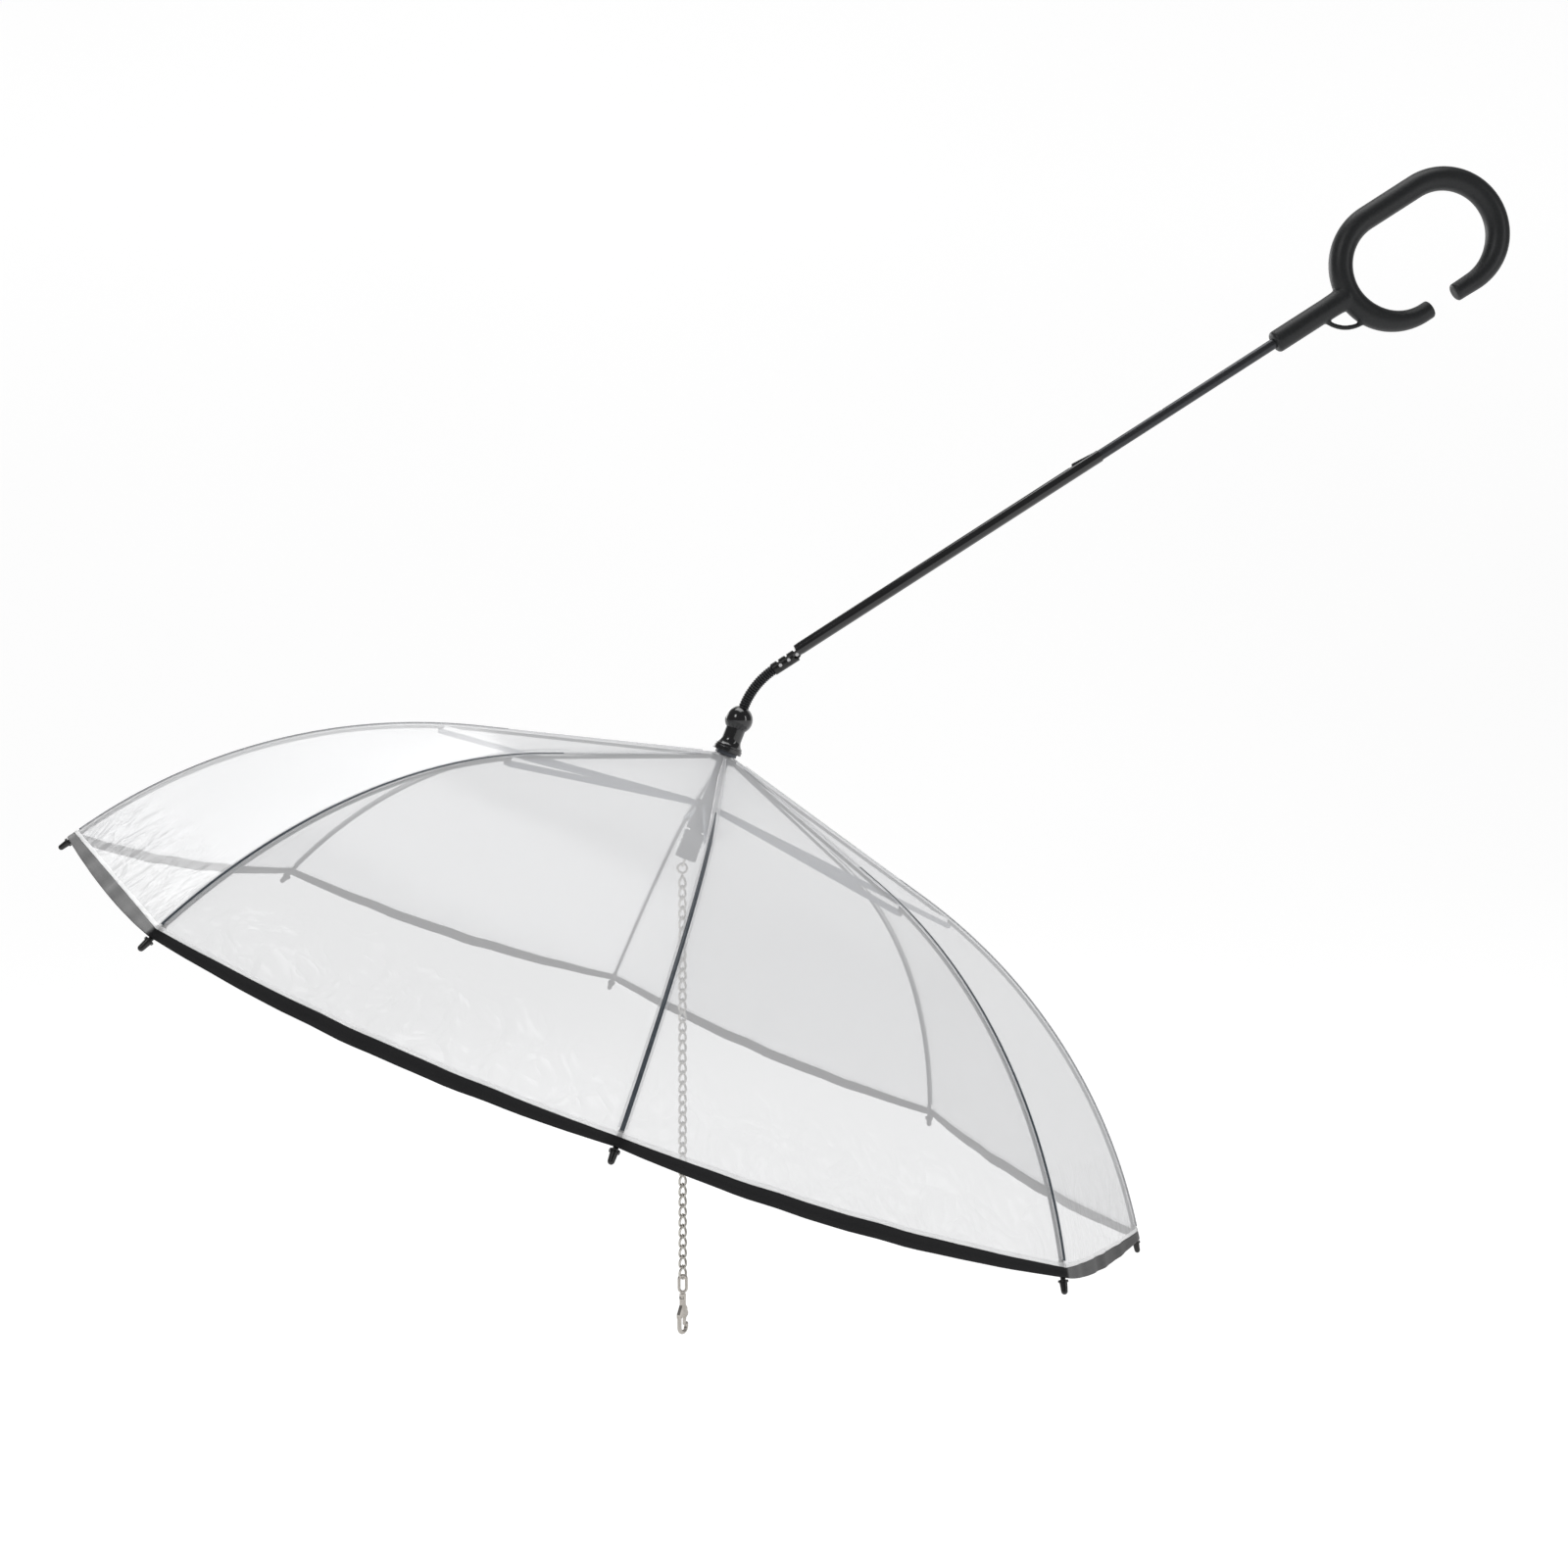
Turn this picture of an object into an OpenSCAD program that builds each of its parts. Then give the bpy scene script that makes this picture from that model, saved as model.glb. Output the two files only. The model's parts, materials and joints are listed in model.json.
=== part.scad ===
// Clear dome dog-walking umbrella: a C-shaped handle, a two-stage shaft, a riveted elbow, a coil
// gooseneck, an eight-rib clear dome that opens below its ferrule, and a chain lead with a snap hook.
// The origin is the middle of the handle's C, where a hand goes through it. +Z is up, +X runs from
// the canopy to the handle, and the whole umbrella is symmetric about the plane Y = 0.

/* [Attitude] */
// Rise of the shaft above the horizontal, degrees
shaft_tilt = 32.75; // [25:0.25:40]
// Lean of the canopy's axis from the vertical, degrees
canopy_tilt = 21.2; // [15:0.1:28]

/* [Handle] */
// Radius of the C's end arcs, at the middle of its tube
ring_r = 35.5; // [33:0.5:38]
// Length of the C's straight sides
ring_straight = 38; // [36:1:42]
// Diameter of the C's tube
ring_tube_d = 15.4; // [14:0.2:17]
// Diameter of the C's tube at its two free ends
ring_end_d = 12; // [10:0.2:13]
// Gap between the free ends
ring_gap = 20.5; // [16:0.5:24]
// Diameter of the sleeve that holds the shaft
sleeve_d = 14.6; // [13:0.2:16]
// Length of the sleeve, from its mouth to the C's tube
sleeve_len = 58; // [52:1:64]

/* [Shaft] */
// Outer diameter of the lower, outer tube
outer_tube_d = 8.1; // [7.9:0.1:8.5]
// Outer diameter of the upper, inner tube
inner_tube_d = 6.84; // [6.8:0.02:6.88]
// Wall of both tubes
tube_wall = 0.55; // [0.5:0.05:0.6]
// Bare length of the inner tube when the shaft is pulled out
inner_bare = 134; // [130:1:150]
// Length of the outer tube
outer_len = 227; // [215:1:240]
// Length of the inner tube that stays inside the outer one
inner_hidden = 63; // [55:1:70]

/* [Elbow and gooseneck] */
// Distance between neighbouring elbow rivets
link_pitch = 6.2; // [6:0.1:6.6]
// Diameter of the elbow's links
link_d = 7.9; // [7.6:0.1:8]
// Diameter of the elbow's rivets
rivet_d = 2.2; // [1.8:0.1:2.4]
// Outer diameter of the gooseneck coil
coil_d = 7; // [6.5:0.1:7]
// Straight distance between the gooseneck's two ends
coil_chord = 31.5; // [28:0.5:36]

/* [Canopy] */
// Radius of the rim at the ribs
rim_r = 360; // [340:5:380]
// Height of the film's peak above the rim plane
dome_h = 195.2; // [190:0.2:200]
// Slope of the dome around its peak, degrees
film_slope = 15; // [14.8:0.1:15.4]
// Distance from the axis where dome and ribs start to curve
bend_r = 150; // [140:1:160]
// Thickness of the film's solid
film_t = 0.4; // [0.3:0.05:0.5]
// Share of a gore's half width by which the film hangs in between two ribs
film_sag = 0.03; // [0:0.01:0.05]
// How far the film's edge bellies out past a straight line between two ribs
rim_belly = 7; // [0:0.5:8]
// Width of the rim binding
binding_w = 8; // [6:0.5:10]
// Diameter of a rib's wire
rib_d = 2; // [1.8:0.1:2.1]
// Width of a stretcher's channel
stretcher_w = 4; // [3.8:0.1:4.2]

/* [Lead] */
// Number of chain links
link_count = 39; // [30:1:45]
// Distance from one chain link to the next
chain_pitch = 6.5; // [6.4:0.1:7]
// Wire diameter of the chain
chain_wire = 1.7; // [1.4:0.1:1.8]
// Turn of the snap hook about the chain, degrees
hook_turn = 50; // [0:5:180]

/* [Hidden] */
$fn = 48;
ribs = 8;

black = "#1b1b1d";
soft_black = "#26272a";
gloss_black = "#0e0e10";
steel_grey = "#5c5e63";
bright_steel = "#b9b6ae";
clear_film = [0.86, 0.88, 0.9, 0.35];
dark_plastic = "#3c3e44";
eps = 0.01;

// --- places along the shaft, measured from the middle of the C ---
sleeve_x = -ring_straight / 2 - ring_r - sleeve_len;
mouth_x = sleeve_x - inner_bare;
outer_end_x = mouth_x - outer_len;
inner_end_x = mouth_x - inner_hidden;
inner_top_x = sleeve_x + sleeve_len - 9;
outer_bore_r = outer_tube_d / 2 - tube_wall;
inner_bore_r = inner_tube_d / 2 - tube_wall;
catch_len = 18.6;
window_len = catch_len + 2.4;
rivet_x = outer_end_x - 4;
link_z = -2.2;
pivot_r = 2.6;
tongue_half = 1.3;

// --- gooseneck: one arc from the elbow's last link to the ferrule ---
coil_bend = 90 - shaft_tilt - canopy_tilt;
coil_r = coil_chord / (2 * sin(coil_bend / 2));
coil_x = rivet_x - 2 * link_pitch - 3.6;
coil_end_x = coil_x - coil_r * sin(coil_bend);
coil_end_z = link_z - coil_r * (1 - cos(coil_bend));

// --- canopy frame: its origin is the middle of the rim plane, +Z up the axis ---
coil_seat_z = dome_h + 30.5;
head_x = coil_end_x * cos(shaft_tilt) - coil_end_z * sin(shaft_tilt)
    - coil_seat_z * sin(canopy_tilt);
head_z = coil_end_x * sin(shaft_tilt) + coil_end_z * cos(shaft_tilt)
    - coil_seat_z * cos(canopy_tilt);

// --- dome and rib profiles: a straight slope to bend_r, then one arc to the rim ---
function slope_z(top, slope) = top - bend_r * tan(slope);
function arc_radius(top, slope, end) =
    let (drop = slope_z(top, slope) - end[1], run = end[0] - bend_r, chord = atan2(drop, run))
    norm([run, drop]) / (2 * sin(chord - slope));
function end_slope(top, slope, end) =
    2 * atan2(slope_z(top, slope) - end[1], end[0] - bend_r) - slope;
function arc_centre(top, slope, radius) =
    [bend_r - radius * sin(slope), slope_z(top, slope) - radius * cos(slope)];

rim_end = [rim_r, 0];
film_arc_r = arc_radius(dome_h, film_slope, rim_end);
film_end_slope = end_slope(dome_h, film_slope, rim_end);
film_centre = arc_centre(dome_h, film_slope, film_arc_r);

// A rib leaves its pin in the top notch straight, then follows the film's arc just inside it
notch_r = 6.4;
notch_z = dome_h - 4.6;
rib_offset = 2.6;
rib_arc_r = film_arc_r - rib_offset;
rib_reach = norm([notch_r, notch_z] - film_centre);
rib_slope = atan2(notch_r - film_centre[0], notch_z - film_centre[1]) + acos(rib_arc_r / rib_reach);
rib_end_slope = film_end_slope - 0.35;
rib_end = film_centre + rib_arc_r * [sin(rib_end_slope), cos(rib_end_slope)];

// --- runner and stretchers ---
runner_r = 6.4;
runner_z = dome_h - 35.7;
joint_slope = 18.8;
joint_drop = 2.4;
joint_r = film_centre[0] + (rib_arc_r - joint_drop) * sin(joint_slope);
joint_z = film_centre[1] + (rib_arc_r - joint_drop) * cos(joint_slope);
stretcher_len = norm([joint_r - runner_r, runner_z - joint_z]);
stretcher_fall = atan2(runner_z - joint_z, joint_r - runner_r);
centre_tube_r = 3.8;
pin_r = 0.5;
pin_fit = 0.06;
tongue_t = 1.4;
slot_w = 1.8;
eye_r = 1.25;

// --- lead: it hangs straight down from the bail under the end block ---
bail_z = dome_h - 76.7;
bail_x_world = head_x + bail_z * sin(canopy_tilt);
bail_z_world = head_z + bail_z * cos(canopy_tilt);
chain_ring_r = 2.9;
ring_wire = 1.5;
chain_top = -(2 * chain_ring_r + chain_wire / 2);
chain_bottom = chain_top - link_count * chain_pitch;
link_side = 2.35;
eye_wire = 1.9;
eye_half_w = 2.3;
eye_len = 10.4;
swivel_z = chain_bottom - eye_len + 1.65;
gate_x = 1.9;
gate_z = -12.2;
gate_tip = -9.6;

// ------------------------------------------------------------------ frames
module at_shaft(x = 0, z = 0) { rotate([0, -shaft_tilt, 0]) translate([x, 0, z]) children(); }
module at_head(z = 0) {
    translate([head_x, 0, head_z]) rotate([0, canopy_tilt, 0]) translate([0, 0, z]) children();
}
module at_rib(k) { at_head() rotate([0, 0, (k - 1) * 360 / ribs]) children(); }
module at_lead(z = 0) { translate([bail_x_world, 0, bail_z_world + z]) children(); }
module at_hook() { at_lead(swivel_z) rotate([0, 0, hook_turn]) children(); }

// ------------------------------------------------------------------ helpers
// A rod along +X from the origin
module rod(r, length) { rotate([0, 90, 0]) cylinder(r = r, h = length); }
// A rod along Y, centred
module cross_rod(r, length) { rotate([90, 0, 0]) cylinder(r = r, h = length, center = true); }
// A flat plate from an outline drawn in X and Z, centred on Y = 0
module plate(t) { rotate([90, 0, 0]) linear_extrude(height = t, center = true) children(); }
// A round bar bent to an arc in the XZ plane, from angle a0 over the angle sweep
module arc_rod(arc_r, r, a0, sweep) {
    rotate([90, 0, 0]) rotate([0, 0, a0]) rotate_extrude(angle = sweep)
        translate([arc_r, 0]) circle(r = r);
}
// A closed wire loop in the XZ plane: two straight sides, half-round ends, z from 0 down to -length
module wire_loop(half_w, length, r) {
    bow = half_w;
    for (side = [-1, 1])
        translate([side * half_w, 0, -length + bow]) cylinder(r = r, h = length - 2 * bow);
    translate([0, 0, -bow]) arc_rod(bow, r, 0, 180);
    translate([0, 0, -length + bow]) arc_rod(bow, r, 180, 180);
}
// A solid of quads through rings of points; every ring has the same number of points
module skin(rings, closed = false) {
    n = len(rings[0]);
    m = len(rings);
    points = [for (ring = rings) for (p = ring) p];
    last = closed ? m - 1 : m - 2;
    sides = [for (i = [0:last]) for (j = [0:n - 1])
        [i * n + j, i * n + (j + 1) % n, ((i + 1) % m) * n + (j + 1) % n, ((i + 1) % m) * n + j]];
    caps = closed ? [] :
        [[for (j = [n - 1:-1:0]) j], [for (j = [0:n - 1]) (m - 1) * n + j]];
    polyhedron(points = points, faces = concat(sides, caps), convexity = 6);
}

// ------------------------------------------------------------------ handle
// Length of the C's middle line, and the point and heading at a distance s along it. It starts at
// the free end nearer the shaft and runs round past the sleeve, over the top and back.
ring_half_gap = ring_gap / 2;
gap_shift = -4.5;
start_straight = ring_straight / 2 + gap_shift - ring_half_gap;
end_straight = ring_straight / 2 - gap_shift - ring_half_gap;
arc_len = PI * ring_r;
ring_len = start_straight + arc_len + ring_straight + arc_len + end_straight;
function ring_point(s) =
    let (h = ring_straight / 2, a = s - start_straight, b = a - arc_len, c = b - ring_straight,
         d = c - arc_len)
    a < 0 ? [-h - a, -ring_r, 180] :
    b < 0 ? let (t = a / ring_r * 180 / PI)
        [-h - ring_r * sin(t), -ring_r * cos(t), 180 - t] :
    c < 0 ? [-h + b, ring_r, 0] :
    d < 0 ? let (t = c / ring_r * 180 / PI)
        [h + ring_r * sin(t), ring_r * cos(t), -t] :
    [h - d, -ring_r, -180];
// Tube radius: full along the C, eased down to the end radius over the taper, and round at the ends
ring_taper = 48;
end_round = 1.8;
function ring_radius(s) =
    let (e = min(s, ring_len - s), u = min(e / ring_taper, 1), ease = u * u * (3 - 2 * u),
         r = ring_end_d / 2 + (ring_tube_d - ring_end_d) / 2 * ease)
    e < end_round ? r - end_round + sqrt(max(0, end_round ^ 2 - (end_round - e) ^ 2)) : r;
function ring_section(s, sides) =
    let (p = ring_point(s), r = ring_radius(s))
    [for (j = [0:sides - 1]) let (a = j * 360 / sides)
        [p[0] - r * cos(a) * sin(p[2]), r * sin(a), p[1] + r * cos(a) * cos(p[2])]];
ring_steps = 54;
ring_stations = concat([0, 0.3, 0.9], [for (i = [0:ring_steps]) end_round
    + (ring_len - 2 * end_round) * i / ring_steps], [ring_len - 0.9, ring_len - 0.3, ring_len]);

module handle_grip() {
    sleeve_round = 1.6;
    color(soft_black) at_shaft() difference() {
        union() {
            skin([for (s = ring_stations) ring_section(s, 20)]);
            // small eye for a wrist strap, between the sleeve and the C
            translate([-56.5, 0, 1.5]) arc_rod(21, 1.6, 196, 80);
            translate([sleeve_x, 0, 0]) rotate([0, 90, 0]) rotate_extrude() union() {
                translate([0, sleeve_round]) square([sleeve_d / 2, sleeve_len - sleeve_round]);
                square([sleeve_d / 2 - sleeve_round, sleeve_round + eps]);
                translate([sleeve_d / 2 - sleeve_round, sleeve_round]) circle(r = sleeve_round);
            }
        }
        translate([sleeve_x - 1, 0, 0])
            rod(inner_tube_d / 2 + 0.02, inner_top_x - sleeve_x + 1.5);
    }
}

// ------------------------------------------------------------------ shaft
module inner_tube() {
    slot_w = 2.6;
    color(steel_grey) at_shaft() difference() {
        translate([inner_end_x, 0, 0]) rod(inner_tube_d / 2, inner_top_x - inner_end_x);
        translate([inner_end_x - 1, 0, 0]) rod(inner_bore_r, inner_top_x - inner_end_x + 2);
        // slot that the catch stands up through
        translate([mouth_x - window_len + 1.6, -slot_w / 2, 0])
            cube([catch_len + 1.6, slot_w, inner_tube_d]);
        // second catch hole, for the half-length setting
        translate([mouth_x + 50, 0, 0]) cylinder(r = 1.3, h = inner_tube_d);
    }
}

module slide_bush() {
    color(gloss_black) at_shaft(inner_end_x - 5) difference() {
        union() {
            rod(outer_bore_r - 0.05, 5);
            rod(inner_bore_r - 0.02, 11);
        }
        translate([-1, 0, 0]) rod(inner_bore_r - 0.9, 13);
    }
}

module outer_tube() {
    window_w = 3.2;
    color(gloss_black) at_shaft(outer_end_x) difference() {
        rod(outer_tube_d / 2, outer_len);
        translate([-1, 0, 0]) rod(outer_bore_r, outer_len + 2);
        translate([outer_len - window_len, -window_w / 2, 0])
            cube([window_len + 1, window_w, outer_tube_d]);
    }
}

module shaft_catch() {
    top = 5.1;
    low = inner_tube_d / 2 + 0.2;
    color(black) at_shaft(mouth_x - catch_len + 0.2) plate(2.2)
        polygon([[0, top - 0.5], [0.5, top], [1.6, top], [catch_len - 1, low], [catch_len, low - 0.8],
                 [catch_len, 1.4], [catch_len - 0.8, 1.4], [catch_len - 1.4, low - 1],
                 [3, top - 2], [2, 0.6], [0.6, 0.6], [0, 1.2]]);
}

// ------------------------------------------------------------------ elbow
// Side outline of one link's barrel between two rivets: upright faces below the rivets, faces that
// lean apart above them, so that the elbow can bend upward only.
module link_outline(length, lean_back = true) {
    lean = (link_d / 2) * tan(gate_lean);
    square_z = link_d / 2 + 0.5;
    polygon(concat([[-0.05, -square_z], [-0.05, 0], [-lean - 0.05, square_z]],
        lean_back ? [[-length + lean + 0.05, square_z], [-length + 0.05, 0]] :
            [[-length, square_z]],
        [[-length + 0.05, -square_z]]));
}
gate_lean = 13.2;
module link_body(length, fork = true) {
    color(gloss_black) difference() {
        intersection() {
            translate([-length - pivot_r - 1, 0, 0]) rod(link_d / 2, length + 2 * pivot_r + 2);
            union() {
                plate(link_d) link_outline(length, fork);
                plate(2 * tongue_half) union() {
                    circle(r = pivot_r);
                    translate([-pivot_r - 1, -pivot_r]) square([pivot_r + 1, 2 * pivot_r]);
                }
                if (fork) plate(link_d) translate([-length, 0]) circle(r = pivot_r);
            }
        }
        // room for the ears of the link before
        for (side = [-1, 1]) translate([0, side * (tongue_half + 2.5), 0])
            cross_rod(pivot_r + 0.15, 5);
        cross_rod(rivet_d / 2 + 0.05, link_d);
        if (fork) translate([-length, 0, 0]) {
            cross_rod(rivet_d / 2 + 0.01, link_d + 1);
            // room for the tongue of the link after
            difference() {
                cross_rod(pivot_r + 0.15, 2 * tongue_half + 0.3);
                cross_rod(rivet_d / 2 + 0.01, 0.01);
            }
            translate([-pivot_r - 0.5, -tongue_half - 0.15, -link_d])
                cube([pivot_r + 0.5, 2 * tongue_half + 0.3, 2 * link_d]);
        }
        if (!fork) translate([coil_x - rivet_x + 2 * link_pitch + 0.6 - 4, 0, 0])
            rod(coil_d / 2 + 0.03, 4);
    }
}
module elbow_socket() {
    color(gloss_black) at_shaft() difference() {
        union() {
            translate([outer_end_x - 1, 0, 0]) rod(outer_bore_r - 0.02, 10);
            intersection() {
                translate([rivet_x - pivot_r - 1, 0, 0])
                    rod(link_d / 2 - 0.05, outer_end_x - rivet_x + pivot_r + 1 - 0.02);
                translate([rivet_x, 0, link_z]) plate(outer_tube_d + 1) union() {
                    circle(r = pivot_r);
                    polygon([[0.05, -6], [6, -6], [6, 7], [0.05 + 7 * tan(gate_lean), 7], [0.05, 0]]);
                }
            }
        }
        translate([rivet_x, 0, link_z]) {
            cross_rod(rivet_d / 2 + 0.01, outer_tube_d + 1);
            cross_rod(pivot_r + 0.15, 2 * tongue_half + 0.3);
            translate([-pivot_r - 0.5, -tongue_half - 0.15, -link_d])
                cube([pivot_r + 0.5, 2 * tongue_half + 0.3, 2 * link_d]);
        }
    }
}
module elbow_link(i) {
    at_shaft(rivet_x - (i - 1) * link_pitch, link_z) link_body(i < 3 ? link_pitch : 5, i < 3);
}
module elbow_rivet(i) {
    color(bright_steel) at_shaft(rivet_x - (i - 1) * link_pitch, link_z)
        cross_rod(rivet_d / 2, link_d + 0.2);
}

// ------------------------------------------------------------------ gooseneck and ferrule
coil_seat = 7;
coil_wire = 1.6;
module coil_section(inset = 0) {
    difference() {
        circle(r = coil_d / 2 - inset);
        circle(r = coil_d / 2 - coil_wire + inset);
    }
}
module gooseneck_coil() {
    color(black) at_shaft(coil_x, link_z) translate([0, 0, -coil_r]) {
        rotate([90, 0, 0]) rotate([0, 0, 90]) rotate_extrude(angle = coil_bend)
            translate([coil_r, 0]) coil_section();
        rotate([0, -coil_bend, 0]) translate([1, 0, coil_r]) rotate([0, -90, 0])
            linear_extrude(height = coil_seat + 1) coil_section(0.03);
    }
}

ball_z = dome_h + 22;
ball_r = 8.85;
flange_z = dome_h + 0.4;
flange_r = 9.4;
neck_r = 6.5;
module ferrule() {
    neck_low = 3.4;
    fillet = 6.2;
    color(gloss_black) at_head() difference() {
        union() {
            translate([0, 0, ball_z]) sphere(r = ball_r, $fn = 96);
            translate([0, 0, flange_z]) rotate_extrude() union() {
                translate([0, 0.5]) square([flange_r, 2.1]);
                square([flange_r - 0.5, 3.1]);
                translate([flange_r - 0.5, 0.5]) circle(r = 0.5);
                translate([flange_r - 0.5, 2.6]) circle(r = 0.5);
                difference() {
                    square([flange_r - 0.5, ball_z - flange_z]);
                    translate([neck_r + fillet, neck_low + fillet - 0.6]) circle(r = fillet);
                    translate([neck_r, neck_low + fillet - 0.6]) square([6, 20]);
                }
            }
        }
        translate([0, 0, flange_z - 1]) cylinder(r = centre_tube_r + 0.02, h = 10);
        translate([0, 0, coil_seat_z - 7.5]) cylinder(r = coil_d / 2 + 0.08, h = 20);
    }
}
module crown_washer() {
    top = flange_z - 0.02;
    low = dome_h - 1.2;
    color(clear_film) at_head() rotate_extrude()
        polygon([[centre_tube_r + 0.02, low + 0.5], [7, low - 0.44], [7, top], [centre_tube_r + 0.02, top]]);
}
module centre_tube() {
    low = dome_h - 68.8;
    color(steel_grey) at_head(low) difference() {
        cylinder(r = centre_tube_r, h = flange_z + 8.5 - low);
        translate([0, 0, -1]) cylinder(r = centre_tube_r - 0.6, h = 90);
    }
}

// ------------------------------------------------------------------ top notch, runner, end block
module pin_ring(r, length) {
    for (k = [1:ribs]) rotate([0, 0, (k - 1) * 360 / ribs]) translate([r, 0, 0])
        cross_rod(pin_r, length);
}
module crown_slots(r_in, z0, z1) {
    for (k = [1:ribs]) rotate([0, 0, (k - 1) * 360 / ribs])
        translate([r_in, -slot_w / 2, z0]) cube([12, slot_w, z1 - z0]);
}
module pin_holes(r, length) {
    for (k = [1:ribs]) rotate([0, 0, (k - 1) * 360 / ribs]) translate([r, 0, 0])
        cross_rod(pin_r + 0.01, length + 0.02);
}
pin_len = 4;
module top_notch() {
    color(dark_plastic) at_head(notch_z) difference() {
        translate([0, 0, -2.5]) cylinder(r = 8.2, h = 3.9);
        translate([0, 0, -4]) cylinder(r = centre_tube_r + 0.02, h = 8);
        crown_slots(notch_r - eye_r - 0.3, -4, 4);
        pin_holes(notch_r, pin_len);
    }
}
module rib_pins() { color(bright_steel) at_head(notch_z) pin_ring(notch_r, pin_len); }
module runner() {
    crown_h = 2.5;
    foot_z = -16.9;
    color(dark_plastic) at_head(runner_z) difference() {
        rotate_extrude() difference() {
            polygon([[0, foot_z], [6.1, foot_z], [6.6, foot_z + 0.5], [6.6, foot_z + 3.4],
                     [5.2, -7], [5.2, -4], [7.2, -crown_h], [7.2, crown_h - 0.4], [6.8, crown_h], [0, crown_h]]);
            square([0.01, 0.01]);
        }
        translate([0, 0, foot_z - 1]) cylinder(r = centre_tube_r + 0.06, h = 30);
        crown_slots(runner_r - eye_r - 0.12, -6, 4);
        pin_holes(runner_r, pin_len);
    }
}
module stretcher_pins() {
    color(bright_steel) at_head(runner_z) pin_ring(runner_r, pin_len);
}
block_h = 18;
block_top = dome_h - 53.8;
module end_block() {
    color(dark_plastic) at_head(block_top - block_h) difference() {
        rotate_extrude() difference() {
            union() {
                translate([0, 0.8]) square([6.8, block_h - 1.6]);
                square([6, block_h]);
                translate([6, 0.8]) circle(r = 0.8);
                translate([6, block_h - 0.8]) circle(r = 0.8);
            }
            for (i = [0:2]) translate([7.2, 6 + 3 * i]) circle(r = 0.9);
        }
        translate([0, 0, 2.9]) cylinder(r = centre_tube_r + 0.02, h = block_h);
        // the bail's two ends
        for (side = [-1, 1]) translate([0, side * bail_half, -1]) cylinder(r = 0.62, h = 3.4);
    }
}

// ------------------------------------------------------------------ lead
// The bail is a wire bow in the plane across the umbrella, so the ring can swing fore and aft on it.
bail_half = 3;
bail_wire = 1.2;
module chain_bail() {
    drop = block_top - block_h - bail_z;
    color(steel_grey) at_head(block_top - block_h) rotate([0, 0, 90]) {
        for (side = [-1, 1]) translate([side * bail_half, 0, -drop + bail_half])
            cylinder(r = bail_wire / 2, h = drop - bail_half + 2.2);
        translate([0, 0, -drop + bail_half]) arc_rod(bail_half, bail_wire / 2, 180, 180);
    }
}
module chain_ring() {
    color(bright_steel) at_lead(-chain_ring_r + bail_wire / 2 + ring_wire / 2 + 0.15)
        rotate([90, 0, 0]) rotate_extrude() translate([chain_ring_r, 0]) circle(r = ring_wire / 2);
}
module chain_links() {
    color(bright_steel) at_lead() for (i = [0:link_count - 1])
        translate([0, 0, chain_top - i * chain_pitch + chain_wire / 2])
            rotate([0, 0, 90 * (i % 2) + 90])
                wire_loop(link_side, chain_pitch + chain_wire, chain_wire / 2 - 0.06);
}
// The eye's post turns in the hook's barrel, and its head sits in the barrel's window
post_r = 1;
post_head_r = 1.5;
window_z = -4.9;
module swivel_eye() {
    color(bright_steel) at_lead(swivel_z) {
        translate([0, 0, eye_len - 0.6]) wire_loop(eye_half_w, eye_len, eye_wire / 2);
        translate([0, 0, window_z + 1]) cylinder(r = post_r, h = 3.4);
        translate([0, 0, window_z + 0.15]) cylinder(r = post_head_r, h = 1.4);
    }
}
// The hook: barrel, flat shank, shoulder, and a round bar bent to a J that ends in a short nose
hook_half = 3.4;
hook_bar_r = 1.35;
bow_z = -22.8;
module snap_hook() {
    barrel_r = 2.1;
    shank_low = -12;
    color(bright_steel) at_hook() difference() {
        union() {
            translate([0, 0, -5.6]) cylinder(r = barrel_r, h = 3.8);
            translate([-1.8, -1.1, shank_low]) cube([3.6, 2.2, 6.6]);
            plate(2.4) polygon([[-1.8, -9], [1.8, -9], [3.3, -11], [3.3, -14.2], [0.2, -14.2],
                                [-2.2, -17], [-hook_half - 1.2, -17], [-hook_half - 1.2, -14.6]]);
            translate([-hook_half, 0, bow_z]) cylinder(r = hook_bar_r, h = 6.6);
            translate([0, 0, bow_z]) arc_rod(hook_half, hook_bar_r, 180, 180);
            translate([hook_half, 0, bow_z - eps]) cylinder(r = hook_bar_r - 0.02, h = 1.6);
            translate([hook_half, 0, bow_z + 1.5]) sphere(r = hook_bar_r - 0.02);
        }
        translate([0, 0, window_z]) cylinder(r = post_r + 0.06, h = 8);
        translate([-barrel_r - 1, -1.7, window_z]) cube([2 * barrel_r + 2, 3.4, 1.7]);
        translate([gate_x, 0, gate_z]) cross_rod(pivot_pin_r + 0.01, 4);
        // slot for the gate's root
        translate([gate_x - 2.1, -0.85, gate_z - 3]) cube([4.6, 1.7, 4.6]);
    }
}
// The gate closes the J from inside, and a thumb nub on it pushes it open
pivot_pin_r = 0.6;
module hook_gate() {
    gate_w = 1.4;
    color(bright_steel) at_hook() translate([gate_x, 0, gate_z]) difference() {
        union() {
            cross_rod(1.25, gate_w);
            plate(gate_w) polygon([[-1.2, 0], [1.2, 0], [2.6, -1.4], [2.9, -2.6], [2.6, -3.8], [0.9, -5],
                                   [0.05, gate_tip], [-1.05, gate_tip]]);
        }
        cross_rod(pivot_pin_r + 0.06, 4);
    }
}
module gate_pin() {
    color(steel_grey) at_hook() translate([gate_x, 0, gate_z]) cross_rod(pivot_pin_r, 2.4);
}

// ------------------------------------------------------------------ canopy
// Profile of the dome: distance from the axis and height, at a share u of the way to the rim
film_hole_r = centre_tube_r + 0.5;
film_rows = 14;
film_bend = 0.42;
rim_len = film_arc_r * (film_end_slope - film_slope) * PI / 180 / (1 - film_bend);
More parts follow.
